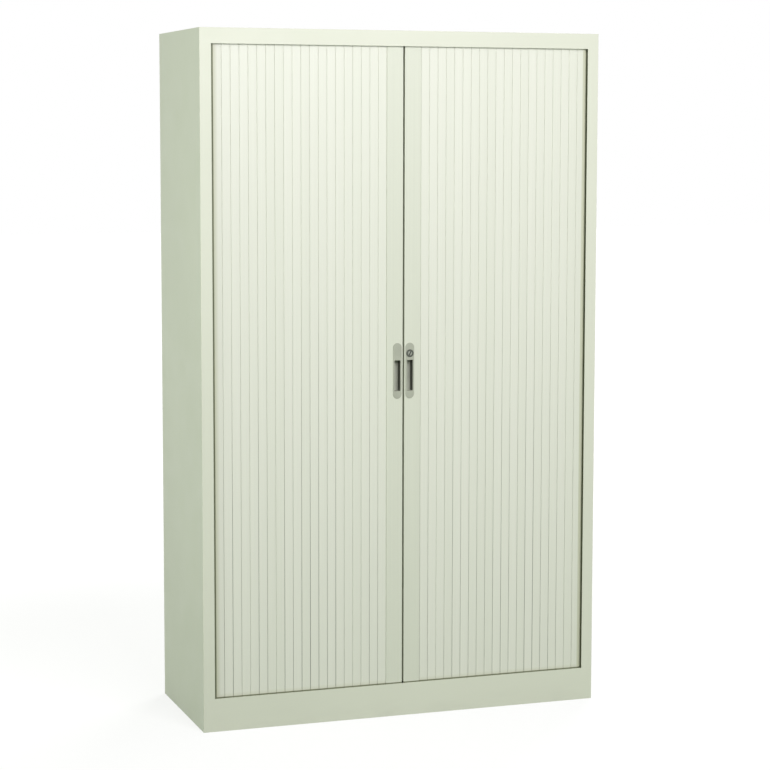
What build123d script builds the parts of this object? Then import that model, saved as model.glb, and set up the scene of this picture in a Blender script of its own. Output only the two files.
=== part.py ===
from build123d import *
import os
from math import atan2, ceil, cos, degrees, floor, hypot, pi, radians, sin

os.makedirs("parts", exist_ok=True)

# Two-door tambour cupboard, doors closed.  Each door is a curtain of upright slats
# behind a stiff leading stile.  It slides sideways in grooves at the top and bottom,
# round the front corner and into the pocket between the outer and inner side panels.
# Millimetres.  The origin is the middle of the footprint, on the floor.  X runs to the
# right as seen from the front, Y from the front to the back, Z up.

# --- Driving dimensions -------------------------------------------------------------

cabinet_width = 1200.0
cabinet_depth = 470.0
cabinet_height = 1980.0

sheet = 1.0  # steel of every pressed panel
fold_radius = 0.8  # outside radius of a folded edge
side_frame = 33.0  # front flange of a side panel
top_rail = 44.0
plinth_height = 95.0
hem = 10.0  # edge folded back flat on itself round the door opening
rear_flange = 20.0
weld_flange = 18.0  # turned edges of the top panel
ceiling_flange = 9.0
base_flange = 30.0
plinth_foot = 15.0  # foot of the plinth, turned back along the floor

slat_pitch = 25.5
slat_thickness = 8.0
slat_wall = 1.2
slat_cells = 2
slat_gap = 0.6  # open joint between the faces of two slats
slat_edge_radius = 1.1
slat_recess = 8.0  # from the front of the frame to the face of the slats
hidden_slats = 3  # on past the corner with the door closed
hinge_tolerance = 1e-9  # of a hinge's place along the curtain
bead_radius = 1.4
bead_play = 0.3
socket_wall = 0.8
mouth_front = 25.0  # degrees of the socket left open in front of the neck
mouth_rear = 64.0  # and behind it, where a slat turns by its share of the corner
neck_thickness = 1.0
socket_root = 2.0  # thickness where the ring joins its slat
joint_room = 0.3  # between a socket and the next slat's walls

track_wall = 1.6
groove_depth = 7.4
groove_play = 0.4  # on each side of a slat
track_drop = 3.0  # from the edge of the opening to the edge of the track
track_standoff = 1.0  # from the outer panels
corner_radius = 40.0  # of the curtain's middle line
corner_wall_play = 0.4  # between a turning slat and the inner wall of a corner
shortest_tail = 60.0  # straight track behind the false back
floor_play = 0.3  # under a slat or a shoe
head_play = 3.0  # above a slat or a shoe, for lifting the curtain in

door_gap = 5.0  # between the two stiles
stile_width = 49.0
stile_depth = 14.0
stile_wall = 1.6
stile_proud = 1.0  # of the slats' faces
stile_play = 1.5  # from the ends of a stile to the tracks
shoe_length = 36.0
shoe_plug = 22.0  # part of a shoe inside the stile
shoe_fit = 0.2
stop_play = 0.3
open_margin = 5.5  # from a stile to the side frame with the door fully open

handle_offset = 16.5  # from a stile's free edge to the handle's middle line
handle_width = 26.0
handle_length = 161.0
handle_height = 1011.0  # of the handle's middle
plate_thickness = 1.5
plate_edge_radius = 0.7
recess_width = 18.0
recess_length = 89.0
recess_drop = 14.0  # from the handle's middle to the recess's middle
recess_depth = 22.0
cup_wall = 1.5
cup_play = 0.3

lock_rise = 50.0  # from the handle's middle to the lock's axis
rosette_radius = 11.2
rosette_thickness = 1.8
rosette_chamfer = 0.9
plug_sunk = 0.45  # the plug's face behind the rosette's
barrel_radius = 9.0
barrel_play = 0.2
plug_radius = 6.4
plug_fit = 0.05
keyway_width = 1.8
keyway_length = 8.0
keyway_depth = 9.0
keyway_tilt = 25.0
nut_radius = 12.5
nut_thickness = 3.0
cam_thickness = 2.0
cam_play = 0.3
cam_eye_radius = 8.0
cam_reach = 41.0
cam_tip_width = 5.5
cam_arm_width = 6.5
cam_swing_play = 1.2  # between the cam and the keeper's lug
shank_size = 6.0  # square end of the plug inside the cam
cam_screw_radius = 1.6
cam_screw_length = 4.0
cam_screw_head = 4.6
cam_screw_head_height = 2.2
lug_thickness = 4.0
lug_height = 8.0
lug_proud = 1.1  # behind the cam
keeper_plate = 1.5
keeper_height = 34.0
keeper_width = 20.0
keeper_screw_radius = 1.6
keeper_screw_head = 3.2
keeper_screw_head_height = 1.2
keeper_screw_length = 4.7
keeper_screw_inset = 6.0

inner_setback = 30.0  # from the front to the inner side panels
inner_flange = 6.0
rear_pocket = 33.0  # between the back panel and the false back
false_back_flange = 12.0
slot_pitch = 40.0
slot_width = 12.0
slot_height = 3.0
slot_margin = 100.0  # from the first slot to the base or ceiling
slot_inset = 40.0  # from a slot's middle to a shelf's front or back edge

shelf_count = 4
shelf_gap = 3.0  # behind the deepest piece on a door
shelf_end_play = 1.0
shelf_flange = 25.0
shelf_return = 12.0
clip_steel = 1.5
clip_width = 10.0
clip_leg = 16.0
clip_lip = 9.0

foot_inset = 62.0  # from the outside of the cabinet to a foot's axis
foot_pad_radius = 20.0
foot_pad_height = 8.0
foot_pad_slope = 4.0
foot_stud_radius = 5.0
foot_stud_top = 62.0
foot_fit = 0.08
foot_hex = 5.0
foot_hex_depth = 6.0
bracket_size = 56.0
bracket_steel = 2.5
bracket_height = 34.0  # of the bracket's web
bush_radius = 9.0
bush_height = 14.0
access_radius = 9.0
plug_cap_radius = 13.0
plug_cap_height = 1.5
plug_cap_radius_edge = 0.75
plug_stem_height = 5.0
plug_stem_play = 0.1

track_screw_radius = 1.5
track_screw_head = 2.9
track_screw_length = 6.0
track_screw_spacing = 230.0
track_screw_margin = 30.0
screw_hole_play = 0.05
centre_stop_height = 5.0
end_stop_length = 12.0

# --- Lines that the pieces share ----------------------------------------------------

half_width = cabinet_width / 2
front = -cabinet_depth / 2
rear = cabinet_depth / 2
opening_side = half_width - side_frame
opening_bottom = plinth_height
opening_top = cabinet_height - top_rail
under_top = cabinet_height - sheet
inside_side = half_width - sheet
inside_rear = rear - 2 * sheet
behind_hem = front + 2 * sheet

groove_width = slat_thickness + 2 * groove_play
track_width = groove_width + 2 * track_wall
track_height = groove_depth + track_wall
base_top = opening_bottom - track_drop - track_height
ceiling_bottom = opening_top + track_drop + track_height
groove_floor = base_top + track_wall
groove_roof = ceiling_bottom - track_wall
slide_bottom = groove_floor + floor_play
slide_top = groove_roof - head_play

slat_face = front + slat_recess
front_run = slat_face + slat_thickness / 2
side_run = inside_side - track_standoff - track_width / 2
rear_run = inside_rear - track_standoff - track_width / 2
bend_x = side_run - corner_radius
front_bend = front_run + corner_radius
rear_bend = rear_run - corner_radius

# A slat is a chord of the corner, so its back cuts inside the curve.  A corner piece has
# a groove that is wider by that much, also along a straight leg of a slat's length.
chord_depth = corner_radius - (corner_radius**2 - slat_pitch**2 / 4) ** 0.5
corner_ease = chord_depth + corner_wall_play - groove_play
corner_leg = slat_pitch
front_track_end = bend_x - corner_leg
side_track_start = front_bend + corner_leg
side_track_end = rear_bend - corner_leg

stile_face = slat_face - stile_proud
stile_back = stile_face + stile_depth
stile_edge = door_gap / 2 + stile_width
stile_bottom = base_top + track_height + stile_play
stile_top = ceiling_bottom - track_height - stile_play
first_hinge = stile_edge + slat_gap / 2
socket_radius = bead_radius + bead_play + socket_wall
slat_side = socket_radius + joint_room

# The curtain's length and where it ends with the door fully open give the tail track.
straight_run = bend_x - first_hinge
quarter_turn = corner_radius * pi / 2
slat_count = ceil((opening_side - first_hinge) / slat_pitch) + hidden_slats
door_travel = opening_side - open_margin - stile_edge
open_end = slat_count * slat_pitch + door_travel
to_tail = straight_run + 2 * quarter_turn + rear_bend - front_bend
tail_reach = max(shortest_tail, open_end - to_tail + end_stop_length + stop_play)
tail_end = bend_x - tail_reach

handle_x = door_gap / 2 + handle_offset
lock_height = handle_height + lock_rise
plate_face = stile_face - plate_thickness
recess_height = handle_height - recess_drop
cup_back = plate_face + recess_depth + cup_wall
nut_back = stile_back + nut_thickness
cam_front = nut_back + cam_play
cam_back = cam_front + cam_thickness
lock_back = cam_back + cam_screw_head_height

inner_side = opening_side - sheet
inner_front = front + inner_setback
false_back = inside_rear - rear_pocket
shelf_front = max(cup_back, lock_back) + shelf_gap
shelf_rear = false_back - shelf_end_play


# --- Common steps -------------------------------------------------------------------


def write(builder, name):
    """Labels a finished piece and writes it under its own name."""
    builder.part.label = name
    export_step(builder.part, f"parts/{name}.step")


def write_mirrored(builder, name):
    """Writes the left-hand twin of a right-hand piece."""
    with BuildPart() as twin:
        mirror(builder.part, about=Plane.YZ)
    write(twin, name)


def block(x0, x1, y0, y1, z0, z1, mode=Mode.ADD):
    """A block between two opposite corners, in the part that is being built."""
    with Locations(((x0 + x1) / 2, (y0 + y1) / 2, (z0 + z1) / 2)):
        Box(abs(x1 - x0), abs(y1 - y0), abs(z1 - z0), mode=mode)


def plate(x0, x1, y0, y1):
    """A rectangle between two opposite corners, in the sketch that is being built."""
    with Locations(((x0 + x1) / 2, (y0 + y1) / 2)):
        Rectangle(abs(x1 - x0), abs(y1 - y0))


# --- Outer carcass: pressed steel, welded and painted -------------------------------

# Side panel: wall, front flange with its edge hemmed back, and rear flange.
with BuildPart() as side_panel:
    with BuildSketch():
        plate(inside_side, half_width, front, rear)
        plate(opening_side, half_width, front, front + sheet)
        plate(opening_side, opening_side + hem, front, behind_hem)
        plate(half_width - rear_flange, half_width, rear - sheet, rear)
    extrude(amount=under_top)
    outer_folds = side_panel.edges().filter_by(Axis.Z).filter_by_position(
        Axis.X, half_width, half_width
    )
    fillet(outer_folds, fold_radius)
write(side_panel, "right_side_panel")
write_mirrored(side_panel, "left_side_panel")

# Top panel: the top skin, its front rail and the turned edges that it is welded by.
with BuildPart() as top_panel:
    block(-half_width, half_width, front, rear, under_top, cabinet_height)
    fillet(top_panel.faces().sort_by(Axis.Z)[-1].edges(), fold_radius)
    block(-opening_side, opening_side, front, front + sheet, opening_top, under_top)
    block(-opening_side, opening_side, front, behind_hem, opening_top, opening_top + hem)
    for side in (-1, 1):
        block(
            side * inside_side,
            side * (inside_side - sheet),
            behind_hem,
            inside_rear - sheet,
            under_top - weld_flange,
            under_top,
        )
    block(
        -inside_side,
        inside_side,
        inside_rear - sheet,
        inside_rear,
        under_top - weld_flange,
        under_top,
    )
write(top_panel, "top_panel")

# Plinth: front skin with its top edge hemmed and its foot turned back on the floor.
with BuildPart() as plinth:
    block(-opening_side, opening_side, front, front + sheet, 0, plinth_height)
    block(
        -opening_side, opening_side, front, behind_hem, plinth_height - hem, plinth_height
    )
    block(-opening_side, opening_side, front, front + plinth_foot, 0, sheet)
write(plinth, "plinth")

# Back panel, inside the rear flanges of the side panels.
with BuildPart() as back_panel:
    block(-inside_side, inside_side, inside_rear, rear - sheet, 0, under_top)
write(back_panel, "back_panel")

# --- Places of the screws that hold the tracks --------------------------------------


def spread(low, high, spacing):
    """Evenly spaced places between two ends, the ends among them."""
    count = max(1, ceil((high - low) / spacing))
    return [low + (high - low) * i / count for i in range(count + 1)]


front_screws = [
    (x, front_run)
    for x in spread(
        -front_track_end + track_screw_margin,
        front_track_end - track_screw_margin,
        track_screw_spacing,
    )
]
side_screws = [
    (side_run, y)
    for y in spread(
        side_track_start + track_screw_margin,
        side_track_end - track_screw_margin,
        track_screw_spacing,
    )
]
tail_screws = [
    (x, rear_run)
    for x in spread(
        tail_end + end_stop_length + track_screw_margin / 2,
        front_track_end - track_screw_margin / 2,
        track_screw_spacing,
    )
]


def corner_screws(bend_y, direction):
    """The one screw at the middle of a corner, in front of or behind its centre."""
    reach = corner_radius * cos(pi / 4)
    return [(bend_x + reach, bend_y + direction * reach)]


right_screws = (
    side_screws
    + tail_screws
    + corner_screws(front_bend, -1)
    + corner_screws(rear_bend, 1)
)
all_screws = front_screws + right_screws + [(-x, y) for x, y in right_screws]


def screw_holes(points, z0, z1):
    """Clearance holes for the track screws, up to the height of the part."""
    with Locations(*[(x, y, (z0 + z1) / 2) for x, y in points]):
        Cylinder(track_screw_radius + screw_hole_play, z1 - z0, mode=Mode.SUBTRACT)


# --- Base, ceiling and feet ---------------------------------------------------------

foot_x = half_width - foot_inset
foot_y = cabinet_depth / 2 - foot_inset
foot_places = {
    "front_left": (-foot_x, -foot_y),
    "front_right": (foot_x, -foot_y),
    "rear_left": (-foot_x, foot_y),
    "rear_right": (foot_x, foot_y),
}

# Base panel: a tray turned down on all four sides, with a hole above each foot.
with BuildPart() as base_panel:
    block(-inside_side, inside_side, behind_hem, inside_rear, base_top - base_flange, base_top)
    block(
        -inside_side + sheet,
        inside_side - sheet,
        behind_hem + sheet,
        inside_rear - sheet,
        base_top - base_flange,
        base_top - sheet,
        mode=Mode.SUBTRACT,
    )
    with Locations(*[(x, y, base_top - sheet / 2) for x, y in foot_places.values()]):
        Cylinder(access_radius, sheet, mode=Mode.SUBTRACT)
    screw_holes(all_screws, base_top - sheet, base_top)
write(base_panel, "base_panel")

# Ceiling panel: carries the top tracks, with its edges turned up.
with BuildPart() as ceiling_panel:
    block(
        -inside_side,
        inside_side,
        behind_hem,
        inside_rear - sheet,
        ceiling_bottom,
        ceiling_bottom + sheet,
    )
    block(
        -inside_side,
        inside_side,
        behind_hem,
        behind_hem + sheet,
        ceiling_bottom,
        ceiling_bottom + ceiling_flange,
    )
    block(
        -inside_side,
        inside_side,
        inside_rear - sheet,
        inside_rear,
        ceiling_bottom,
        ceiling_bottom + ceiling_flange,
    )
    screw_holes(all_screws, ceiling_bottom, ceiling_bottom + sheet)
write(ceiling_panel, "ceiling_panel")

# Foot brackets: a channel welded under the base at each corner, with a threaded bush.
bracket_top = base_top - sheet
with BuildPart() as foot_brackets:
    for x, y in foot_places.values():
        half = bracket_size / 2
        block(x - half, x + half, y - half, y + half, bracket_height, bracket_top)
        block(
            x - half,
            x + half,
            y - half + bracket_steel,
            y + half - bracket_steel,
            bracket_height + bracket_steel,
            bracket_top,
            mode=Mode.SUBTRACT,
        )
        with Locations((x, y, bracket_height + bush_height / 2)):
            Cylinder(bush_radius, bush_height)
        with Locations((x, y, bracket_height + bush_height / 2)):
            Cylinder(foot_stud_radius + foot_fit, bush_height, mode=Mode.SUBTRACT)
write(foot_brackets, "foot_brackets")

# Levelling feet: a flared pad on a stud, turned from above with a hexagon key.
for name, (x, y) in foot_places.items():
    with BuildPart() as foot:
        with Locations((x, y, foot_pad_height / 2)):
            Cylinder(foot_pad_radius, foot_pad_height)
        chamfer(foot.faces().sort_by(Axis.Z)[-1].edges(), foot_pad_slope)
        with Locations((x, y, (foot_pad_height + foot_stud_top) / 2)):
            Cylinder(foot_stud_radius, foot_stud_top - foot_pad_height)
        with BuildSketch(Plane.XY.offset(foot_stud_top)):
            with Locations((x, y)):
                RegularPolygon(foot_hex / 2, 6, major_radius=False)
        extrude(amount=-foot_hex_depth, mode=Mode.SUBTRACT)
    write(foot, f"{name}_foot")

# Plastic plugs that close the holes above the feet.
with BuildPart() as access_plugs:
    for x, y in foot_places.values():
        with Locations((x, y, base_top + plug_cap_height / 2)):
            Cylinder(plug_cap_radius, plug_cap_height)
        with Locations((x, y, base_top - plug_stem_height / 2)):
            Cylinder(access_radius - plug_stem_play, plug_stem_height)
    fillet(
        access_plugs.faces().filter_by(Axis.Z).group_by(Axis.Z)[-1].edges(),
        plug_cap_radius_edge,
    )
write(access_plugs, "access_plugs")

# --- Inner box: side panels with slots for the shelves, and the false back ----------

shelf_slots = [shelf_front + slot_inset, shelf_rear - slot_inset]
slot_rows = floor((ceiling_bottom - base_top - 2 * slot_margin) / slot_pitch)
slot_bottoms = [base_top + slot_margin + slot_pitch * i for i in range(slot_rows + 1)]

with BuildPart() as inner_side_panel:
    block(inner_side, opening_side, inner_front, false_back + sheet, base_top, ceiling_bottom)
    block(
        inner_side,
        opening_side + inner_flange,
        inner_front,
        inner_front + sheet,
        base_top,
        ceiling_bottom,
    )
    with Locations(
        *[
            ((inner_side + opening_side) / 2, y, z + slot_height / 2)
            for y in shelf_slots
            for z in slot_bottoms
        ]
    ):
        Box(sheet, slot_width, slot_height, mode=Mode.SUBTRACT)
write(inner_side_panel, "right_inner_side")
write_mirrored(inner_side_panel, "left_inner_side")

with BuildPart() as false_back_panel:
    block(-inner_side, inner_side, false_back, false_back + sheet, base_top, ceiling_bottom)
    for side in (-1, 1):
        block(
            side * inner_side,
            side * (inner_side - sheet),
            false_back,
            false_back + false_back_flange,
            base_top,
            ceiling_bottom,
        )
write(false_back_panel, "false_back")

# --- Shelves on clips ---------------------------------------------------------------

shelf_slot_rows = [
    slot_bottoms[round(slot_rows * (i + 1) / (shelf_count + 1))] for i in range(shelf_count)
]
shelf_end = inner_side - shelf_end_play

for number, slot in enumerate(shelf_slot_rows, start=1):
    underside = slot + clip_steel
    with BuildPart() as shelf:
        with BuildSketch(Plane.YZ.offset(-shelf_end)):
            plate(shelf_front, shelf_rear, underside, underside + sheet)
            for edge, inward in ((shelf_front, 1), (shelf_rear, -1)):
                lower = underside + sheet - shelf_flange
                plate(edge, edge + inward * sheet, lower, underside + sheet)
                plate(edge, edge + inward * shelf_return, lower, lower + sheet)
        extrude(amount=2 * shelf_end)
    write(shelf, f"shelf_{number}")

# Each clip hooks through a slot: a leg under the shelf, a lip on either side of the panel.
with BuildPart() as shelf_clips:
    for side in (-1, 1):
        for y in shelf_slots:
            for slot in shelf_slot_rows:
                near, far = y - clip_width / 2, y + clip_width / 2
                inner, outer = side * inner_side, side * opening_side
                block(
                    inner - side * clip_leg,
                    outer + side * clip_steel,
                    near,
                    far,
                    slot,
                    slot + clip_steel,
                )
                block(inner - side * clip_steel, inner, near, far, slot - clip_lip, slot)
                block(outer, outer + side * clip_steel, near, far, slot - clip_lip, slot)
write(shelf_clips, "shelf_clips")

# --- Tracks: plastic channels that guide the curtains --------------------------------

countersink = track_screw_head - track_screw_radius


def channel(across, open_up, ease=0.0):
    """The channel's section, its middle line across the sketch and its groove eased in."""
    low = base_top if open_up else ceiling_bottom - track_height
    groove_low = groove_floor if open_up else low
    with Locations((across - ease / 2, low + track_height / 2)):
        Rectangle(track_width + ease, track_height)
    with Locations((across - ease / 2, groove_low + groove_depth / 2)):
        Rectangle(groove_width + ease, groove_depth, mode=Mode.SUBTRACT)


def track_holes(points, open_up):
    """Countersunk holes through a track's floor, or its roof if it opens downwards."""
    level = groove_floor if open_up else groove_roof
    way = -1 if open_up else 1
    with Locations(*[(x, y, level + way * track_wall / 2) for x, y in points]):
        Cylinder(track_screw_radius + screw_hole_play, track_wall, mode=Mode.SUBTRACT)
    wide = track_screw_head + screw_hole_play
    narrow = track_screw_radius + screw_hole_play
    bottom, top = (narrow, wide) if open_up else (wide, narrow)
    with Locations(*[(x, y, level + way * countersink / 2) for x, y in points]):
        Cone(bottom, top, countersink, mode=Mode.SUBTRACT)


def straight_track(plane, across, length, points, open_up):
    """A straight channel that starts at a plane and runs along the plane's normal."""
    with BuildPart() as track:
        with BuildSketch(plane):
            channel(across, open_up)
        extrude(amount=length)
        track_holes(points, open_up)
    return track


def corner_track(bend_y, start_angle, points, open_up):
    """A quarter turn of channel round an upright axis, with a straight leg at each end."""

    def section(angle):
        outward = Vector(cos(angle), sin(angle), 0)
        return Plane(
            origin=(bend_x, bend_y, 0), x_dir=outward, z_dir=outward.cross(Vector(0, 0, 1))
        )

    with BuildPart() as track:
        with BuildSketch(section(start_angle)):
            channel(corner_radius, open_up, corner_ease)
        revolve(axis=Axis((bend_x, bend_y, 0), (0, 0, 1)), revolution_arc=90)
        for angle, leg in ((start_angle, corner_leg), (start_angle + pi / 2, -corner_leg)):
            with BuildSketch(section(angle)):
                channel(corner_radius, open_up, corner_ease)
            extrude(amount=leg)
        track_holes(points, open_up)
    return track


for level, open_up in (("bottom", True), ("top", False)):
    front_track = straight_track(
        Plane.YZ.offset(-front_track_end),
        front_run,
        2 * front_track_end,
        front_screws,
        open_up,
    )
    write(front_track, f"{level}_front_track")
    side_plane = Plane(origin=(0, side_track_start, 0), x_dir=(1, 0, 0), z_dir=(0, -1, 0))
    right_hand = {
        "side_track": straight_track(
            side_plane, side_run, side_track_start - side_track_end, side_screws, open_up
        ),
        "tail_track": straight_track(
            Plane.YZ.offset(tail_end), rear_run, front_track_end - tail_end, tail_screws, open_up
        ),
        "front_corner": corner_track(
            front_bend, -pi / 2, corner_screws(front_bend, -1), open_up
        ),
        "rear_corner": corner_track(rear_bend, 0, corner_screws(rear_bend, 1), open_up),
    }
    for name, track in right_hand.items():
        write(track, f"{level}_right_{name}")
        write_mirrored(track, f"{level}_left_{name}")

# Countersunk screws through the tracks, heads flush with the groove.
for level, head, way in (("bottom", groove_floor, -1), ("top", groove_roof, 1)):
    with BuildPart() as track_screws:
        ends = (track_screw_radius, track_screw_head)
        bottom, top = ends if way < 0 else ends[::-1]
        with Locations(*[(x, y, head + way * countersink / 2) for x, y in all_screws]):
            Cone(bottom, top, countersink)
        middle = head + way * (countersink + track_screw_length) / 2
        with Locations(*[(x, y, middle) for x, y in all_screws]):
            Cylinder(track_screw_radius, track_screw_length - countersink)
    write(track_screws, f"{level}_track_screws")

# Stops: one between the two doors, and one at the end of each tail track.
shoe_start = door_gap / 2 + stile_wall
stop_half_width = shoe_start - stop_play
with BuildPart() as centre_stops:
    for low in (groove_floor, groove_roof - centre_stop_height):
        block(
            -stop_half_width,
            stop_half_width,
            front_run - slat_thickness / 2,
            front_run + slat_thickness / 2,
            low,
            low + centre_stop_height,
        )
write(centre_stops, "centre_stops")

with BuildPart() as end_stops:
    for side in (-1, 1):
        for low in (groove_floor, groove_roof - centre_stop_height):
            block(
                side * tail_end,
                side * (tail_end + end_stop_length),
                rear_run - slat_thickness / 2,
                rear_run + slat_thickness / 2,
                low,
                low + centre_stop_height,
            )
write(end_stops, "end_stops")

# --- Curtains: hollow plastic slats, each hinged to the next by a bead in a socket ----

bore = bead_radius + bead_play


def socket(hinge, middle, body_edge, face_back):
    """A ring round a hinge line, joined to the body behind it and the face above it."""
    plate(body_edge, hinge, middle - socket_root / 2, middle + socket_root / 2)
    plate(hinge - socket_radius, hinge - slat_gap / 2, middle, face_back)
    # The wedge of the ring that is left open is for the next slat's neck to swing in.
    reach = 2 * socket_radius
    upper = radians(mouth_front)
    lower = -radians(mouth_rear)
    wedge = [
        (0, 0),
        (reach * cos(lower), reach * sin(lower)),
        (reach, 0),
        (reach * cos(upper), reach * sin(upper)),
    ]
    with Locations((hinge, middle)):
        Circle(socket_radius)
        Circle(bore, mode=Mode.SUBTRACT)
        Polygon(*wedge, align=None, mode=Mode.SUBTRACT)


# The section lies between two hinge lines, at x = 0 and x = slat_pitch, with +y to the
# front.  The bead is at x = 0 and the socket at x = slat_pitch.
half_slat = slat_thickness / 2
body_end = slat_pitch - slat_side
cell_height = slat_thickness - 2 * slat_wall
cell_step = (body_end - slat_side - slat_wall) / slat_cells

with BuildSketch() as slat_section:
    plate(slat_gap / 2, slat_pitch - slat_gap / 2, half_slat - slat_wall, half_slat)
    fillet(slat_section.vertices().group_by(Axis.Y)[-1], slat_edge_radius)
    plate(slat_side, body_end, -half_slat, half_slat - slat_wall)
    socket(slat_pitch, 0, body_end, half_slat - slat_wall)
    Circle(bead_radius)
    plate(0, slat_side, -neck_thickness / 2, neck_thickness / 2)
    with Locations((slat_pitch / 2, 0)), GridLocations(cell_step, 0, slat_cells, 1):
        Rectangle(cell_step - slat_wall, cell_height, mode=Mode.SUBTRACT)


def run_point(distance):
    """A point on the curtain's middle line, at a distance from the first hinge."""
    if distance < straight_run:
        return first_hinge + distance, front_run
    if distance < straight_run + quarter_turn:
        angle = (distance - straight_run) / corner_radius
        return (
            bend_x + corner_radius * sin(angle),
            front_bend - corner_radius * cos(angle),
        )
    return side_run, front_bend + distance - straight_run - quarter_turn


def next_hinge(distance):
    """The distance along the middle line at which a slat that starts there ends."""
    x0, y0 = run_point(distance)
    low, high = distance, distance + 2 * slat_pitch
    while high - low > hinge_tolerance:
        middle = (low + high) / 2
        x, y = run_point(middle)
        if hypot(x - x0, y - y0) < slat_pitch:
            low = middle
        else:
            high = middle
    return high


# A sketch plane that faces down has +y to the front of the cabinet.
with BuildPart() as slats:
    with BuildSketch(Plane(origin=(0, 0, slide_top), x_dir=(1, 0, 0), z_dir=(0, 0, -1))):
        start = 0.0
        for _ in range(slat_count):
            end = next_hinge(start)
            x0, y0 = run_point(start)
            x1, y1 = run_point(end)
            turn = degrees(atan2(y0 - y1, x1 - x0))
            with Locations(Location((x0, -y0, 0), (0, 0, turn))):
                add(slat_section.sketch)
            start = end
    extrude(amount=slide_top - slide_bottom)
write(slats, "right_slats")
write_mirrored(slats, "left_slats")

# --- Leading stiles and their shoes ---------------------------------------------------

box_edge = first_hinge - slat_side
lip_back = slat_face + slat_wall
keeper_reach = cam_reach - cam_tip_width - cam_swing_play
lug_far = (keeper_reach**2 - (lug_height / 2) ** 2) ** 0.5
lug_x = handle_x - lug_far + lug_thickness / 2
keeper_screws_z = [
    lock_height + side * (keeper_height / 2 - keeper_screw_inset) for side in (-1, 1)
]


def stile_body():
    """Hollow extrusion, with the socket of a slat on its outer edge and a slot for a cup."""
    with BuildPart() as stile:
        with BuildSketch(Plane(origin=(0, 0, stile_top), x_dir=(1, 0, 0), z_dir=(0, 0, -1))) as s:
            plate(door_gap / 2, stile_edge, -lip_back, -stile_face)
            plate(door_gap / 2, box_edge, -stile_back, -stile_face)
            fillet(s.vertices().group_by(Axis.Y)[-1], slat_edge_radius)
            socket(first_hinge, -front_run, box_edge, -lip_back)
            plate(box_edge - stile_wall, box_edge, -stile_back, -stile_face - stile_wall)
            with Locations(
                (
                    (shoe_start + box_edge - stile_wall) / 2,
                    -(stile_face + stile_back) / 2,
                )
            ):
                Rectangle(
                    box_edge - stile_wall - shoe_start,
                    stile_depth - 2 * stile_wall,
                    mode=Mode.SUBTRACT,
                )
        extrude(amount=stile_top - stile_bottom)
        half_cut = recess_width / 2 + cup_wall + cup_play
        cut_length = recess_length / 2 + cup_wall + cup_play
        block(
            handle_x - half_cut,
            handle_x + half_cut,
            stile_face,
            stile_back,
            recess_height - cut_length,
            recess_height + cut_length,
            mode=Mode.SUBTRACT,
        )
    return stile


def front_facing(y):
    """A sketch plane at a depth y that faces the front, with x to the right and z up."""
    return Plane(origin=(0, y, 0), x_dir=(1, 0, 0), z_dir=(0, -1, 0))


with BuildPart() as right_stile:
    add(stile_body().part)
    with BuildSketch(front_facing(stile_face)):
        with Locations((handle_x, lock_height)):
            Circle(barrel_radius + barrel_play)
    extrude(amount=-stile_depth, mode=Mode.SUBTRACT)
write(right_stile, "right_stile")

with BuildPart() as left_stile:
    mirror(stile_body().part, about=Plane.YZ)
    with BuildSketch(front_facing(stile_back)):
        with Locations(*[(lug_x, z) for z in keeper_screws_z]):
            Circle(keeper_screw_radius + screw_hole_play)
    extrude(amount=stile_wall, mode=Mode.SUBTRACT)
write(left_stile, "left_stile")

# Shoes: a plug in each end of the stile, with a tongue that runs in the groove.
with BuildPart() as shoes:
    plug_start = shoe_start + shoe_fit
    plug_end = box_edge - stile_wall - shoe_fit
    plug_front = stile_face + stile_wall + shoe_fit
    plug_back = stile_back - stile_wall - shoe_fit
    for end, inward, tip in ((stile_bottom, 1, slide_bottom), (stile_top, -1, slide_top)):
        block(plug_start, plug_end, plug_front, plug_back, end, end + inward * shoe_plug)
        block(
            shoe_start,
            shoe_start + shoe_length,
            front_run - half_slat,
            front_run + half_slat,
            tip,
            end,
        )
write(shoes, "right_stile_shoes")
write_mirrored(shoes, "left_stile_shoes")

# --- Handles: a round-ended plate with a finger cup behind it --------------------------


def handle_cup():
    """The plate on the stile's face and the cup that passes through the stile."""
    with BuildPart() as handle:
        with BuildSketch(front_facing(stile_face)):
            with Locations((handle_x, handle_height)):
                SlotOverall(handle_length, handle_width, rotation=90)
        extrude(amount=plate_thickness)
        fillet(handle.faces().sort_by(Axis.Y)[0].edges(), plate_edge_radius)
        with BuildSketch(front_facing(plate_face + plate_edge_radius)):
            with Locations((handle_x, recess_height)):
                Rectangle(recess_width + 2 * cup_wall, recess_length + 2 * cup_wall)
        extrude(amount=plate_face + plate_edge_radius - cup_back)
        with BuildSketch(front_facing(plate_face)):
            with Locations((handle_x, recess_height)):
                Rectangle(recess_width, recess_length)
        extrude(amount=-recess_depth, mode=Mode.SUBTRACT)
    return handle


with BuildPart() as right_handle:
    add(handle_cup().part)
    with BuildSketch(front_facing(plate_face)):
        with Locations((handle_x, lock_height)):
            Circle(barrel_radius + barrel_play)
    extrude(amount=-plate_thickness, mode=Mode.SUBTRACT)
write(right_handle, "right_handle")
write_mirrored(handle_cup(), "left_handle")

# --- Lock: a cam lock in the right handle that hooks behind a keeper on the left stile --


def lock_plane(y):
    """A sketch plane on the lock's axis that faces the front."""
    return Plane(origin=(handle_x, y, lock_height), x_dir=(1, 0, 0), z_dir=(0, -1, 0))


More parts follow.
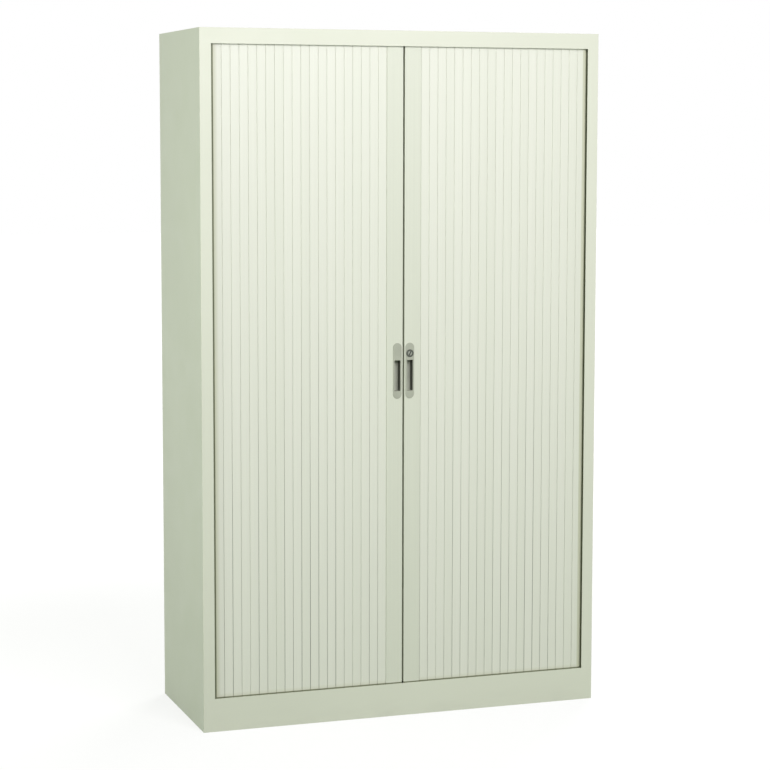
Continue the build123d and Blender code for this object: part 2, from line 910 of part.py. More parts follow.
rosette_face = plate_face - rosette_thickness
with BuildPart() as lock_housing:
    with BuildSketch(lock_plane(rosette_face)):
        Circle(rosette_radius)
    extrude(amount=-rosette_thickness)
    chamfer(lock_housing.faces().sort_by(Axis.Y)[0].edges(), rosette_chamfer)
    with BuildSketch(lock_plane(plate_face)):
        Circle(barrel_radius)
    extrude(amount=plate_face - nut_back)
    with BuildSketch(lock_plane(rosette_face)):
        Circle(plug_radius + plug_fit)
    extrude(amount=rosette_face - nut_back, mode=Mode.SUBTRACT)
write(lock_housing, "lock_housing")

with BuildPart() as lock_nut:
    with BuildSketch(lock_plane(stile_back)):
        RegularPolygon(nut_radius, 6)
        Circle(barrel_radius + screw_hole_play, mode=Mode.SUBTRACT)
    extrude(amount=-nut_thickness)
write(lock_nut, "lock_nut")

# The plug turns with the key and carries the cam on a square end.
plug_face = rosette_face + plug_sunk
with BuildPart() as lock_plug:
    with BuildSketch(lock_plane(plug_face)):
        Circle(plug_radius)
    extrude(amount=plug_face - cam_front)
    with BuildSketch(lock_plane(cam_front)):
        Rectangle(shank_size, shank_size)
    extrude(amount=-cam_thickness)
    with BuildSketch(lock_plane(plug_face)):
        SlotOverall(keyway_length, keyway_width, rotation=90 - keyway_tilt)
    extrude(amount=-keyway_depth, mode=Mode.SUBTRACT)
    with BuildSketch(lock_plane(cam_back)):
        Circle(cam_screw_radius + screw_hole_play)
    extrude(amount=cam_screw_length, mode=Mode.SUBTRACT)
write(lock_plug, "lock_plug")

# The cam stands upright while unlocked.  A quarter turn lays its hook over the lug.
arm_start = lug_height / 2 + cam_swing_play
with BuildPart() as lock_cam:
    with BuildSketch(lock_plane(cam_front)):
        Circle(cam_eye_radius)
        plate(arm_start, arm_start + cam_arm_width, 0, cam_reach)
        plate(
            -lug_height / 2,
            arm_start + cam_arm_width,
            cam_reach - cam_tip_width,
            cam_reach,
        )
        Rectangle(
            shank_size + 2 * screw_hole_play,
            shank_size + 2 * screw_hole_play,
            mode=Mode.SUBTRACT,
        )
    extrude(amount=-cam_thickness)
write(lock_cam, "lock_cam")

with BuildPart() as cam_screw:
    with BuildSketch(lock_plane(cam_back)):
        Circle(cam_screw_head)
    extrude(amount=-cam_screw_head_height)
    fillet(cam_screw.faces().sort_by(Axis.Y)[-1].edges(), cam_screw_head_height / 2)
    with BuildSketch(lock_plane(cam_back)):
        Circle(cam_screw_radius)
    extrude(amount=cam_screw_length)
write(cam_screw, "cam_screw")

# Keeper on the back of the left stile, with the lug that the cam's hook drops behind.
keeper_back = stile_back + keeper_plate
lug_end = cam_back + lug_proud
with BuildPart() as lock_keeper:
    block(
        lug_x - keeper_width / 2,
        lug_x + keeper_width / 2,
        stile_back,
        keeper_back,
        lock_height - keeper_height / 2,
        lock_height + keeper_height / 2,
    )
    block(
        lug_x - lug_thickness / 2,
        lug_x + lug_thickness / 2,
        keeper_back,
        lug_end,
        lock_height - lug_height / 2,
        lock_height + lug_height / 2,
    )
    with BuildSketch(front_facing(keeper_back)):
        with Locations(*[(lug_x, z) for z in keeper_screws_z]):
            Circle(keeper_screw_radius + screw_hole_play)
    extrude(amount=keeper_plate, mode=Mode.SUBTRACT)
write(lock_keeper, "lock_keeper")

with BuildPart() as keeper_screws:
    with BuildSketch(front_facing(keeper_back)):
        with Locations(*[(lug_x, z) for z in keeper_screws_z]):
            Circle(keeper_screw_head)
    extrude(amount=-keeper_screw_head_height)
    with BuildSketch(front_facing(keeper_back)):
        with Locations(*[(lug_x, z) for z in keeper_screws_z]):
            Circle(keeper_screw_radius)
    extrude(amount=keeper_screw_length)
write(keeper_screws, "keeper_screws")
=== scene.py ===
import random
from math import atan2, cos, pi, radians, sin

import bmesh
import bpy
from mathutils import Matrix, Vector


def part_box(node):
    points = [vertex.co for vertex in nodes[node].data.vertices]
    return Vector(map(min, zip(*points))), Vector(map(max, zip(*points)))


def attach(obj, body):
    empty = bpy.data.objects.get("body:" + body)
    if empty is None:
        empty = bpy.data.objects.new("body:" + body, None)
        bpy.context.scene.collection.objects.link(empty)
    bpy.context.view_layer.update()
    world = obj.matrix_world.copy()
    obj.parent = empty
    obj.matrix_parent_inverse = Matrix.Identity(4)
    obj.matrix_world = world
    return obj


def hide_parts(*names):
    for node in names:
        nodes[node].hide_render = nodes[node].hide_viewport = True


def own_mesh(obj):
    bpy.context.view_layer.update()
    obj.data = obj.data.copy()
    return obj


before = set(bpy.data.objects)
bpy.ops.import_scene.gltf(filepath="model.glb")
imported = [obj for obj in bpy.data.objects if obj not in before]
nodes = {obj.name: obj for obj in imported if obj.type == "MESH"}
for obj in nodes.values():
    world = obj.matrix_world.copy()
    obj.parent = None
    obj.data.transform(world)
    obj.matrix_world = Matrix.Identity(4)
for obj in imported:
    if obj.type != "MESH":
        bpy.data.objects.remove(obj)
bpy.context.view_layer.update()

# --- The view -------------------------------------------------------------------------
# A long lens at head height, to the left of the cupboard, so that its front and a strip of
# its left side show.  The view is a square image, 770 pixels a side.

image_side = 770
film_width = 36  # mm
focal_length = 2201.8  # pixels
axis_rise = 28  # pixels from the middle of the image up to the lens's axis
heading = 0.3357  # radians to the right of straight on
tilt = -0.1016
roll = 0.0017
lens_place = (-2.1257, -6.1589, 1.6927)

camera = bpy.data.objects.new("camera", bpy.data.cameras.new("camera"))
bpy.context.scene.collection.objects.link(camera)
bpy.context.scene.camera = camera
sight = Vector((sin(heading) * cos(tilt), cos(heading) * cos(tilt), sin(tilt)))
upright = sight.to_track_quat("-Z", "Y")
camera.rotation_mode = "QUATERNION"
camera.rotation_quaternion = upright @ Matrix.Rotation(roll, 3, "Z").to_quaternion()
camera.location = lens_place
camera.data.sensor_width = film_width
camera.data.lens = focal_length / image_side * film_width
camera.data.shift_y = -axis_rise / image_side
camera.data.clip_end = 200

bpy.context.scene.view_settings.view_transform = "Standard"

# --- The studio ------------------------------------------------------------------------
# A pale floor that runs out into a white surround, a large soft light high in front, weaker
# ones on the left and behind, and a pale light from all round.

surround_light = 0.385
ambient = (0.93, 1.0, 0.85, 1)
white = (1, 1, 1, 1)
floor_half = 30
floor_colour = (0.8, 0.8, 0.8)
floor_bounce = (0.22, 0.28, 0.20)  # what lights the object from below
plain_from = 1.4  # from the middle of the cupboard to where the floor starts to whiten
plain_to = 3.2
lightened = 0.7  # share of white in the plain floor, which softens the shadow
floor_white = 1.11  # brings the open floor up to the white of the surround


def add(tree, kind, **settings):
    """A new shader node of a kind."""
    node = tree.nodes.new(f"ShaderNode{kind}")
    for setting, value in settings.items():
        setattr(node, setting, value)
    return node


def calculated(tree, operation, *values):
    """The result of a calculation with fixed numbers and sockets."""
    node = add(tree, "Math", operation=operation)
    for target, value in zip(node.inputs, values):
        if isinstance(value, (int, float)):
            target.default_value = value
        else:
            tree.links.new(value, target)
    return node.outputs[0]


def distance(tree, point):
    """How far a point is from the origin."""
    node = add(tree, "VectorMath", operation="LENGTH")
    tree.links.new(point, node.inputs[0])
    return node.outputs["Value"]


def ranged(tree, value, low, high, from_low=0.0, from_high=1.0, ramp="LINEAR"):
    """A value brought from one range into another."""
    node = add(tree, "MapRange", interpolation_type=ramp)
    node.inputs["From Min"].default_value = from_low
    node.inputs["From Max"].default_value = from_high
    node.inputs["To Min"].default_value = low
    node.inputs["To Max"].default_value = high
    tree.links.new(value, node.inputs["Value"])
    return node.outputs["Result"]


def colour_socket(sockets, identifier):
    """The colour socket of a Mix node, which has others of the same name."""
    return next(socket for socket in sockets if socket.identifier == identifier)


def mixed(tree, share, first, second):
    """A colour between two, each a fixed colour or a socket."""
    node = add(tree, "Mix", data_type="RGBA")
    tree.links.new(share, node.inputs["Factor"])
    for identifier, colour in (("A_Color", first), ("B_Color", second)):
        target = colour_socket(node.inputs, identifier)
        if isinstance(colour, tuple):
            target.default_value = (*colour, 1)
        else:
            tree.links.new(colour, target)
    return colour_socket(node.outputs, "Result_Color")


def either_shader(tree, share, first, second):
    """A mix of two shaders."""
    node = add(tree, "MixShader")
    tree.links.new(share, node.inputs[0])
    tree.links.new(first.outputs[0], node.inputs[1])
    tree.links.new(second.outputs[0], node.inputs[2])
    return node.outputs[0]


def seen_directly(tree):
    """1 for rays from the camera, also by way of metal or glass, and 0 for matt light."""
    path = add(tree, "LightPath")
    seen = path.outputs["Is Camera Ray"]
    for kind in ("Is Glossy Ray", "Is Transmission Ray"):
        seen = calculated(tree, "MAXIMUM", seen, path.outputs[kind])
    return seen


def soft_light(name, place, aim, size, watts, tint=(1, 1, 1)):
    """A square lamp at a place, turned to face a point."""
    lamp = bpy.data.objects.new(name, bpy.data.lights.new(name, "AREA"))
    lamp.data.size = size
    lamp.data.energy = watts
    lamp.data.color = tint
    lamp.location = place
    lamp.rotation_mode = "QUATERNION"
    lamp.rotation_quaternion = (Vector(aim) - Vector(place)).to_track_quat("-Z", "Y")
    bpy.context.scene.collection.objects.link(lamp)


surround = bpy.data.worlds.new("surround")
bpy.context.scene.world = surround
surround.use_nodes = True
tree = surround.node_tree
tree.nodes.clear()
lit = add(tree, "Background")
lit.inputs["Color"].default_value = ambient
lit.inputs["Strength"].default_value = surround_light
shown = add(tree, "Background")
shown.inputs["Color"].default_value = white
shown.inputs["Strength"].default_value = 1
out = add(tree, "OutputWorld")
tree.links.new(either_shader(tree, seen_directly(tree), lit, shown), out.inputs["Surface"])

bm = bmesh.new()
bmesh.ops.create_grid(bm, x_segments=1, y_segments=1, size=floor_half)
floor = bpy.data.objects.new("floor", bpy.data.meshes.new("floor"))
bm.to_mesh(floor.data)
bm.free()
bpy.context.scene.collection.objects.link(floor)

floor_paint = bpy.data.materials.new("floor_paint")
floor_paint.use_nodes = True
tree = floor_paint.node_tree
tree.nodes.clear()
matt = add(tree, "BsdfDiffuse")
toned = mixed(tree, seen_directly(tree), floor_bounce, floor_colour)
tree.links.new(toned, matt.inputs["Color"])
glow = add(tree, "Emission")
glow.inputs["Color"].default_value = white
glow.inputs["Strength"].default_value = floor_white
away = distance(tree, add(tree, "TexCoord").outputs["Object"])
fade = ranged(tree, away, lightened, 1, plain_from, plain_to, "SMOOTHSTEP")
share = calculated(tree, "MULTIPLY", fade, seen_directly(tree))
out = add(tree, "OutputMaterial")
tree.links.new(either_shader(tree, share, matt, glow), out.inputs["Surface"])
floor.data.materials.append(floor_paint)

soft_light("key", (0.3, -4.0, 3.15), (0, -0.2, 1.3), 2.2, 141, (1, 0.965, 1.03))
soft_light("fill", (-3.0, -0.55, 1.75), (-0.6, -0.1, 1.35), 1.4, 24.5, (0.93, 1, 0.89))
soft_light("back", (2.6, 3.6, 3.0), (0.2, 0.2, 1.0), 2.4, 150)

# --- Outer carcass ---------------------------------------------------------------------
# Side, top, back and base panels and the plinth: 1 mm sheet steel, folded, spot welded and
# ground flush at the corners of the frame, then powder coated in one pale grey-green.

shell_colour = (0.745, 0.765, 0.645)
scuff_height = 0.06  # the coat is a little grubby this near the floor
peel_depth = 0.00006  # of the coat's orange peel
weld_line = 0.590  # from the middle of the cupboard to the spot welds of the rear flanges
weld_pitch = 0.075
weld_radius = 0.0027
weld_rim = 0.0008  # over which a weld's dimple runs out
weld_depth = 4  # times that of the orange peel
weld_tone = 0.8
welded_from = (0.2344, 0.2346)  # y of the rear flanges' outer faces, which alone show the welds
seam_shadow = (0.5783, 0.5795)  # x over which a painted shadow darkens the back panel beside the flanges' edges
seam_shadow_tone = 0.4


def material(name):
    """A new material with its node tree, shader and object coordinates."""
    made = bpy.data.materials.new(name)
    made.use_nodes = True
    coordinates = add(made.node_tree, "TexCoord", name="place")
    shader = made.node_tree.nodes["Principled BSDF"]
    return made, made.node_tree, shader, coordinates.outputs["Object"]


def axes(tree, vector):
    """The three parts of a vector."""
    node = add(tree, "SeparateXYZ")
    tree.links.new(vector, node.inputs[0])
    return node.outputs


def noise(tree, place, scale, detail=2.0, stretch=(1, 1, 1)):
    """A noise pattern with so many features to the metre, stretched along an axis."""
    mapping = add(tree, "Mapping")
    mapping.inputs["Scale"].default_value = stretch
    pattern = add(tree, "TexNoise")
    pattern.inputs["Scale"].default_value = scale
    pattern.inputs["Detail"].default_value = detail
    tree.links.new(place, mapping.inputs["Vector"])
    tree.links.new(mapping.outputs[0], pattern.inputs["Vector"])
    return pattern.outputs["Fac"]


def shade(colour, factor):
    """A fixed colour made lighter or darker."""
    return tuple(min(1.0, channel * factor) for channel in colour)


def bumped(tree, shader, height, depth):
    """Gives a shader the relief of a height pattern."""
    bump = add(tree, "Bump")
    bump.inputs["Strength"].default_value = 1
    bump.inputs["Distance"].default_value = depth
    tree.links.new(height, bump.inputs["Height"])
    tree.links.new(bump.outputs["Normal"], shader.inputs["Normal"])


def cover(coat, share, colour):
    """Lays a second colour over a material's own."""
    tree = coat.node_tree
    base = tree.nodes["Principled BSDF"].inputs["Base Color"]
    tree.links.new(mixed(tree, share, base.links[0].from_socket, colour), base)


def weld_marks(tree, place):
    """1 in the dimples that spot welds leave up the rear flanges, 0 elsewhere."""
    x, y, z = axes(tree, place)
    off_line = calculated(tree, "SUBTRACT", calculated(tree, "ABSOLUTE", x), weld_line)
    off_weld = calculated(tree, "PINGPONG", z, weld_pitch / 2)
    off = add(tree, "CombineXYZ")
    tree.links.new(off_line, off.inputs["X"])
    tree.links.new(off_weld, off.inputs["Y"])
    away = distance(tree, off.outputs[0])
    near = ranged(tree, away, 1, 0, weld_radius, weld_radius + weld_rim)
    return calculated(tree, "MULTIPLY", near, ranged(tree, y, 0, 1, *welded_from))


def powder_coat(name, colour):
    """A baked powder coat: a fine orange peel over thick, slightly uneven colour."""
    coat, tree, shader, place = material(name)
    cloudy = ranged(tree, noise(tree, place, 2.2), 0, 1, 0.35, 0.65)
    even = mixed(tree, cloudy, shade(colour, 0.985), shade(colour, 1.012))
    low = ranged(tree, axes(tree, place)["Z"], 1, 0, 0, scuff_height)
    smeared = ranged(tree, noise(tree, place, 30, 6, (0.25, 1, 1)), 0, 0.4, 0.45, 0.7)
    scuffed = calculated(tree, "MULTIPLY", low, smeared)
    grubby = mixed(tree, scuffed, even, shade(colour, 0.9))
    welds = weld_marks(tree, place)
    marked = mixed(tree, welds, grubby, shade(colour, weld_tone))
    tree.links.new(marked, shader.inputs["Base Color"])
    patchy = ranged(tree, noise(tree, place, 14, 3), 0.40, 0.48, 0.3, 0.7)
    tree.links.new(patchy, shader.inputs["Roughness"])
    peel = noise(tree, place, 650, 1.5)
    relief = calculated(tree, "MULTIPLY_ADD", welds, -weld_depth, peel)
    bumped(tree, shader, relief, peel_depth)
    return coat


def finish_nodes(names, coat):
    """Gives CAD pieces a finish in place of the plain one."""
    for name in names:
        nodes[name].data.materials.clear()
        nodes[name].data.materials.append(coat)


shell_coat = powder_coat("shell_coat", shell_colour)
shell_panels = ["left_side_panel", "right_side_panel", "top_panel", "plinth"]
shell_panels += ["base_panel", "ceiling_panel"]
finish_nodes(shell_panels, shell_coat)

back_coat = powder_coat("back_coat", shell_colour)
tree = back_coat.node_tree
aside = calculated(tree, "ABSOLUTE", axes(tree, tree.nodes["place"].outputs["Object"])["X"])
# Painted shadow: the back panel is darkened in a strip beside the edges of the rear flanges.
cover(back_coat, ranged(tree, aside, 0, 1, *seam_shadow), shade(shell_colour, seam_shadow_tone))
finish_nodes(["back_panel"], back_coat)

# --- Feet -------------------------------------------------------------------------------
# Zinc-plated channels welded under the base hold a threaded bush each.  A black nylon pad
# moulded on a plated stud screws into it, and is turned from inside with a hexagon key.

zinc_colour = (0.60, 0.60, 0.57)
nylon_colour = (0.035, 0.036, 0.035)


def plated(name, colour, roughness, metallic=1.0):
    """Zinc or nickel plate: bright metal with a fine spangle and a little haze."""
    plate, tree, shader, place = material(name)
    shader.inputs["Metallic"].default_value = metallic
    spangle = add(tree, "TexVoronoi")
    spangle.inputs["Scale"].default_value = 220
    tree.links.new(place, spangle.inputs["Vector"])
    tone = ranged(tree, spangle.outputs["Color"], 0, 1)
    spangled = mixed(tree, tone, shade(colour, 0.86), shade(colour, 1.1))
    tree.links.new(spangled, shader.inputs["Base Color"])
    haze = ranged(tree, noise(tree, place, 90, 4), roughness - 0.07, roughness + 0.09)
    tree.links.new(haze, shader.inputs["Roughness"])
    bumped(tree, shader, noise(tree, place, 900, 2), 0.00003)
    return plate


def moulded(name, colour, roughness, grain=700):
    """Moulded plastic with a fine eroded grain."""
    plastic, tree, shader, place = material(name)
    cloudy = ranged(tree, noise(tree, place, 25, 3), 0, 1, 0.3, 0.7)
    even = mixed(tree, cloudy, shade(colour, 0.93), shade(colour, 1.05))
    tree.links.new(even, shader.inputs["Base Color"])
    patchy = ranged(tree, noise(tree, place, 60, 3), roughness - 0.06, roughness + 0.06)
    tree.links.new(patchy, shader.inputs["Roughness"])
    bumped(tree, shader, noise(tree, place, grain, 2), 0.00005)
    return plastic


zinc = plated("zinc_plate", zinc_colour, 0.36)
nylon = moulded("black_nylon", nylon_colour, 0.5)
plug_plastic = moulded("plug_plastic", shade(shell_colour, 0.9), 0.5)
corners = ("front_left", "front_right", "rear_left", "rear_right")
feet = [f"{corner}_foot" for corner in corners]
finish_nodes(["foot_brackets"], zinc)
finish_nodes(["access_plugs"], plug_plastic)
finish_nodes(feet, nylon)

# --- Inner box, false back and shelves -----------------------------------------------------
# Slotted side panels and a plain false back in the same steel and coat, four shelves with
# turned edges, and plated clips hooked through the slots.

inner_coat = powder_coat("inner_coat", shell_colour)
shelves = [f"shelf_{number}" for number in range(1, 5)]
inner_panels = ["left_inner_side", "right_inner_side", "false_back"]
finish_nodes(inner_panels + shelves, inner_coat)
finish_nodes(["shelf_clips"], zinc)

# --- Tracks -----------------------------------------------------------------------------------
# Grey extruded channels with moulded corners, screwed to the base and the ceiling, with
# rubber stops between the doors and at the far ends.

track_colour = (0.33, 0.34, 0.30)
rubber_colour = (0.03, 0.03, 0.03)
track_plastic = moulded("track_plastic", track_colour, 0.38, 1200)
rubber = moulded("stop_rubber", rubber_colour, 0.7)
tracks = []
for level in ("bottom", "top"):
    tracks.append(f"{level}_front_track")
    for side in ("left", "right"):
        for run in ("front_corner", "rear_corner", "side_track", "tail_track"):
            tracks.append(f"{level}_{side}_{run}")
finish_nodes(tracks, track_plastic)
finish_nodes(["bottom_track_screws", "top_track_screws"], zinc)
finish_nodes(["centre_stops", "end_stops"], rubber)

# --- Curtains --------------------------------------------------------------------------
# Each door is a curtain of hollow PVC slats, extruded in one section and sawn to length.  The
# bead on a slat's edge snaps into the socket of the slat before it, so that they turn freely.

slat_pitch = 0.0255
slat_thickness = 0.008
face_wall = 0.0012
face_corner = 0.0011  # radius of the front corners
slat_joint = 0.0006  # open joint between two faces
bead = 0.0014
socket_bore = 0.0017
socket_outside = 0.0025
neck = 0.001
socket_root = 0.002
hollow_start = 0.0028  # from a hinge line to the hollow part
mouth_front = 25  # degrees of the socket left open in front of the neck
mouth_rear = 64  # and behind it
arc_step = 22.5  # degrees

first_hinge = 0.0518
front_line = -0.223  # of the hinges in the front track
side_line = 0.592  # and in the side tracks
bend_radius = 0.040
bend_x = side_line - bend_radius
slat_count = 24
slat_lean = 0.1  # degrees that a slat may lean in its sockets' play
flat_below = 10  # degrees between faces up to which a shape is shaded as smooth

slat_colour = (0.80, 0.812, 0.715)
slat_tones = ((0.975, 0.98, 0.97), (1.0, 1.0, 1.0))  # from the darkest slat to the palest
face_skin = 0.0001  # what lies deeper than this is down in a joint
joint_shade = 0.25  # of the faces' colour, down in the darkest joints
joint_dark_heights = (0.2, 1.25)  # heights below which the joints are darkest and above which they are not darkened
soft_shade = (0.625, 0.64, 0.49)  # painted shade where the slats start to turn round the corners, and just above the plinth
soft_shade_left = (-0.5475, -0.5590)
soft_shade_right = (0.5535, 0.5565)
soft_shade_low = (0.098, 0.108)
gap_shadow = (0.22, 0.24, 0.15)  # painted shadow where the slats go in behind the frame and the plinth
gap_shadow_left = (-0.5590, -0.5600)
gap_shadow_right = (0.5642, 0.5650)
gap_shadow_low = (0.0972, 0.0980)
draw_depth = 0.00003  # of the lines that the die leaves


def line_to(bm, last, x, y):
    """Draws a straight line from the last vertex of an outline."""
    grown = bmesh.ops.extrude_vert_indiv(bm, verts=[last])["verts"][0]
    grown.co = (x, y, 0)
    return grown


def arc_to(bm, last, centre, turn):
    """Draws an arc of so many degrees round a centre from the last vertex."""
    spun = bmesh.ops.spin(
        bm,
        geom=[last],
        cent=(*centre, 0),
        axis=(0, 0, 1),
        angle=radians(turn),
        steps=max(2, round(abs(turn) / arc_step)),
    )
    return next(part for part in spun["geom_last"] if isinstance(part, bmesh.types.BMVert))


def prism(bm, length):
    """Closes the outline that is all there is in a mesh, and extrudes it upwards."""
    bmesh.ops.remove_doubles(bm, verts=bm.verts, dist=1e-6)
    bmesh.ops.contextual_create(bm, geom=bm.edges[:])
    grown = bmesh.ops.extrude_face_region(bm, geom=bm.faces[:])
    top = [part for part in grown["geom"] if isinstance(part, bmesh.types.BMVert)]
    bmesh.ops.translate(bm, verts=top, vec=(0, 0, length))
    bmesh.ops.recalc_face_normals(bm, faces=bm.faces)


def on_ring(radius, angle):
    """A point on a ring round the far hinge line, at an angle in degrees."""
    return slat_pitch + radius * cos(radians(angle)), radius * sin(radians(angle))


def slat_outline(bm, with_bead):
    """Draws a slat between its hinge lines, x = 0 and x = slat_pitch, with its face at +y."""
    half = slat_thickness / 2
    gap = slat_joint / 2
    body_end = slat_pitch - hollow_start
    near, far = gap + face_corner, slat_pitch - gap - face_corner
    wall = 90 + gap / socket_outside * 180 / pi  # where the ring meets the face's edge
    root = 180 + socket_root / 2 / socket_outside * 180 / pi
    first = bm.verts.new((hollow_start, neck / 2, 0))
    pen = line_to(bm, first, hollow_start, half - face_wall)
    pen = line_to(bm, pen, gap, half - face_wall)
    pen = line_to(bm, pen, gap, half - face_corner)
    pen = arc_to(bm, pen, (near, half - face_corner), -90)
    pen = line_to(bm, pen, far, half)
    pen = arc_to(bm, pen, (far, half - face_corner), -90)
    pen = line_to(bm, pen, *on_ring(socket_outside, wall))
    pen = arc_to(bm, pen, (slat_pitch, 0), mouth_front - wall)
    pen = line_to(bm, pen, *on_ring(socket_bore, mouth_front))
    pen = arc_to(bm, pen, (slat_pitch, 0), 360 - mouth_front - mouth_rear)
    pen = line_to(bm, pen, *on_ring(socket_outside, -mouth_rear))
    pen = arc_to(bm, pen, (slat_pitch, 0), root + mouth_rear - 360)
    pen = line_to(bm, pen, body_end, -socket_root / 2)
    pen = line_to(bm, pen, body_end, -half)
    pen = line_to(bm, pen, hollow_start, -half)
    pen = line_to(bm, pen, hollow_start, -neck / 2)
    if with_bead:
        pen = line_to(bm, pen, (bead**2 - neck**2 / 4) ** 0.5, -neck / 2)
        pen = arc_to(bm, pen, (0, 0), neck / bead * 180 / pi - 360)
    line_to(bm, pen, hollow_start, neck / 2)


def hinge_place(along):
    """A place on the line of the right door's hinges, at a distance from its first one."""
    straight = bend_x - first_hinge
    turn = min(max(along - straight, 0) / bend_radius, pi / 2)
    past = max(along - straight - bend_radius * pi / 2, 0)
    x = first_hinge + min(along, straight) + bend_radius * sin(turn)
    return Vector((x, front_line + bend_radius * (1 - cos(turn)) + past, 0))


def next_hinge(along):
    """The distance of the hinge that is one slat further on, straight across the bend."""
    ahead = along + slat_pitch
    for _ in range(12):
        ahead += slat_pitch - (hinge_place(ahead) - hinge_place(along)).length
    return ahead


def curtain(name, side, bottom, top):
    """One door's slats, each a closed mesh with its own tone.  The left one is a mirror."""
    draw = random.Random(name)
    whole = bmesh.new()
    whole.verts.layers.float.new("slat_tone")
    whole.verts.layers.float.new("in_joint")
    along = 0.0
    for number in range(slat_count):
        ahead = next_hinge(along)
        start, end = hinge_place(along), hinge_place(ahead)
        along = ahead
        slat = bmesh.new()
        # The first slat's bead is out of sight inside the stile.
        slat_outline(slat, with_bead=number > 0)
        prism(slat, top - bottom)
        slat_tone = slat.verts.layers.float.new("slat_tone")
        in_joint = slat.verts.layers.float.new("in_joint")
        # Each slat's joints are darkened by an amount drawn at random.
        joint_darkness = draw.uniform(0.2, 1) ** 2
        for vertex in slat.verts:
            if vertex.co.y < slat_thickness / 2 - face_skin:
                vertex[in_joint] = joint_darkness
        middle = Vector((slat_pitch / 2, 0, 0))
        lean = Matrix.Rotation(radians(draw.uniform(-slat_lean, slat_lean)), 3, "Z")
        bmesh.ops.rotate(slat, verts=slat.verts, cent=middle, matrix=lean)
        # Face out to the front: the section's +y is turned to -Y of the cupboard.
        bmesh.ops.scale(slat, verts=slat.verts, vec=(1, -1, 1))
        direction = end - start
        turn = Matrix.Rotation(atan2(direction.y, direction.x), 3, "Z")
        bmesh.ops.rotate(slat, verts=slat.verts, cent=(0, 0, 0), matrix=turn)
        bmesh.ops.translate(slat, verts=slat.verts, vec=start + Vector((0, 0, bottom)))
        bmesh.ops.scale(slat, verts=slat.verts, vec=(side, 1, 1))
        if side > 0:
            bmesh.ops.reverse_faces(slat, faces=slat.faces)
        tone = draw.uniform(0, 1)
        for vertex in slat.verts:
            vertex[slat_tone] = tone
        single = bpy.data.meshes.new("slat")
        slat.to_mesh(single)
        slat.free()
        whole.from_mesh(single)
        bpy.data.meshes.remove(single)
    return placed(name, whole)


def placed(name, bm):
    """A new piece from a finished mesh, flat-shaded where its edges are sharp."""
    mesh = bpy.data.meshes.new(name)
    bm.to_mesh(mesh)
    bm.free()
    mesh.set_sharp_from_angle(angle=radians(flat_below))
    piece = bpy.data.objects.new(name, mesh)
    bpy.context.scene.collection.objects.link(piece)
    return piece


def gap_shadowed(tree, place, colour):
    """Darkens a colour along the plinth's top edge with a painted shadow of the gap there."""
    low = ranged(tree, axes(tree, place)["Z"], 1, 0, *gap_shadow_low)
    return mixed(tree, low, colour, gap_shadow)


def attribute(tree, name):
    """A value that a mesh carries."""
    return add(tree, "Attribute", attribute_name=name).outputs["Fac"]


def slat_finish():
    """Extruded PVC: faint draw lines along the slat, a tone of its own for each, darker joints,
    and painted shade and shadow by the frame's edges and the plinth.
    """
    plastic, tree, shader, place = material("slat_pvc")
    x, _, z = axes(tree, place)
    drawn = noise(tree, place, 420, 2, (1, 1, 0.004))
    streaky = ranged(tree, drawn, 0, 1, 0.3, 0.7)
    streak = mixed(tree, streaky, shade(slat_colour, 0.985), shade(slat_colour, 1.01))
    own = mixed(tree, attribute(tree, "slat_tone"), *slat_tones)
    toned = add(tree, "Mix", data_type="RGBA", blend_type="MULTIPLY")
    toned.inputs["Factor"].default_value = 1
    tree.links.new(streak, colour_socket(toned.inputs, "A_Color"))
    tree.links.new(own, colour_socket(toned.inputs, "B_Color"))
    colour = colour_socket(toned.outputs, "Result_Color")
    # The joints are darker towards the bottom.
    lower_down = ranged(tree, z, 1, 0, *joint_dark_heights)
    joint_darkness = calculated(tree, "MULTIPLY", attribute(tree, "in_joint"), lower_down)
    colour = mixed(tree, joint_darkness, colour, shade(slat_colour, joint_shade))
    # Painted shade: the slats are dulled where they start to turn round the corners and just
    # above the plinth.
    for edge in (soft_shade_left, soft_shade_right):
        colour = mixed(tree, ranged(tree, x, 0, 1, *edge), colour, soft_shade)
    colour = mixed(tree, ranged(tree, z, 0.6, 0, *soft_shade_low), colour, soft_shade)
    # Painted shadow: dark bands on the slats where they go in behind the frame's edges, and
    # along the plinth's top edge.
    for edge in (gap_shadow_left, gap_shadow_right):
        colour = mixed(tree, ranged(tree, x, 0, 1, *edge), colour, gap_shadow)
    tree.links.new(gap_shadowed(tree, place, colour), shader.inputs["Base Color"])
    patchy = ranged(tree, noise(tree, place, 40, 3, (1, 1, 0.05)), 0.36, 0.46, 0.3, 0.7)
    tree.links.new(patchy, shader.inputs["Roughness"])
    bumped(tree, shader, drawn, draw_depth)
    return plastic


slat_pvc = slat_finish()
for name, side in (("left", -1), ("right", 1)):
    low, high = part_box(f"{name}_slats")
    piece = curtain(f"{name}_curtain", side, low.z, high.z)
    piece.data.materials.append(slat_pvc)
    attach(piece, "carcass")
    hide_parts(f"{name}_slats")
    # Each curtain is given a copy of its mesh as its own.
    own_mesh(piece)

# --- Leading stiles ----------------------------------------------------------------------
# A stiff hollow extrusion leads each curtain, with the socket for the first slat on its edge
# and a moulded nylon shoe in each end, whose tongue runs in the groove.

stile_colour = (0.72, 0.745, 0.63)


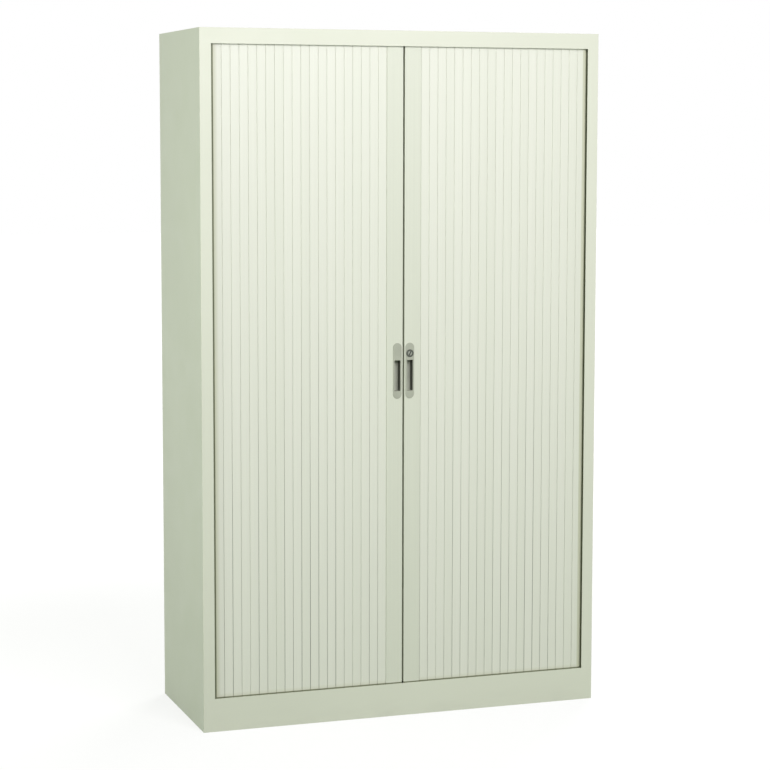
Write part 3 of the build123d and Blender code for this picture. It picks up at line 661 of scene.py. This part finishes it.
def extruded(name, colour, roughness):
    """Extruded plastic in one colour, with faint draw lines up its length and a painted shadow
    along its foot by the plinth.
    """
    plastic, tree, shader, place = material(name)
    drawn = noise(tree, place, 380, 2, (1, 1, 0.004))
    streaky = ranged(tree, drawn, 0, 1, 0.3, 0.7)
    even = mixed(tree, streaky, shade(colour, 0.98), shade(colour, 1.01))
    # Painted shadow along the stile's foot, by the plinth's top edge.
    tree.links.new(gap_shadowed(tree, place, even), shader.inputs["Base Color"])
    patchy = ranged(tree, noise(tree, place, 30, 3), roughness - 0.04, roughness + 0.04)
    tree.links.new(patchy, shader.inputs["Roughness"])
    bumped(tree, shader, drawn, draw_depth)
    return plastic


stile_plastic = extruded("stile_plastic", stile_colour, 0.42)
finish_nodes(["left_stile", "right_stile"], stile_plastic)
finish_nodes(["left_stile_shoes", "right_stile_shoes"], nylon)

# --- Handles -------------------------------------------------------------------------------
# A grey moulded plate with round ends, glued and clipped into the stile, with a deep finger
# cup to pull the door by.

handle_colour = (0.43, 0.45, 0.365)
cup_mouth = (-0.2285, -0.2275)  # y over which the walls of the cup begin
cup_floor = (-0.2065, -0.2061)  # and over which they end
upright_wall = (0.3, 0.6)  # how far a wall's normal leans to the side
cup_wall_painted_shade = 0.2  # painted shade of the two upright walls
cup_floor_painted_shade = 0.95


def handle_finish():
    """Grey moulded plastic, with painted shade inside the cup: dark on its upright walls and a
    little darker on its floor.
    """
    plastic = moulded("handle_plastic", handle_colour, 0.5)
    tree = plastic.node_tree
    place = tree.nodes["place"]
    deep = axes(tree, place.outputs["Object"])["Y"]
    sideways = calculated(tree, "ABSOLUTE", axes(tree, place.outputs["Normal"])["X"])
    within = ranged(tree, deep, 0, 1, *cup_mouth)
    upright = ranged(tree, sideways, 0, 1, *upright_wall)
    wall = calculated(tree, "MULTIPLY", within, upright)
    # Painted shade: the cup's upright walls are made dark, and its floor a little darker.
    cover(plastic, wall, shade(handle_colour, cup_wall_painted_shade))
    cover(plastic, ranged(tree, deep, 0, 1, *cup_floor), shade(handle_colour, cup_floor_painted_shade))
    return plastic


finish_nodes(["left_handle", "right_handle"], handle_finish())

# --- Lock ------------------------------------------------------------------------------------
# A die-cast cam lock in the right handle: housing and nut, a plug that turns with the key, and
# a hooked cam on its square end.  The keeper for the hook is screwed to the left stile.

rosette_colour = (0.085, 0.095, 0.075)
plug_colour = (0.27, 0.29, 0.24)
key_slot_shadow = (0.012, 0.012, 0.010)
key_slot_half = (0.0012, 0.0015)  # half the width of the painted-dark slot, to where its shade starts to fade and to where it ends
key_slot_lean = 25  # degrees to the right
lock_axis = (0.019, 0, 1.061)

rosette_metal = plated("rosette_metal", rosette_colour, 0.5, 0.5)
plug_metal = plated("plug_metal", plug_colour, 0.45, 0.5)
tree = plug_metal.node_tree
turned = add(tree, "Mapping", vector_type="TEXTURE")
turned.inputs["Location"].default_value = lock_axis
turned.inputs["Rotation"].default_value = (0, radians(key_slot_lean), 0)
tree.links.new(tree.nodes["place"].outputs["Object"], turned.inputs["Vector"])
beside = calculated(tree, "ABSOLUTE", axes(tree, turned.outputs[0])["X"])
# Painted shadow: the key slot is darkened in a stripe across the plug's face.
cover(plug_metal, ranged(tree, beside, 1, 0, *key_slot_half), key_slot_shadow)
finish_nodes(["lock_housing"], rosette_metal)
finish_nodes(["lock_plug"], plug_metal)
finish_nodes(["lock_nut", "lock_cam", "lock_keeper"], zinc)
finish_nodes(["cam_screw", "keeper_screws"], zinc)
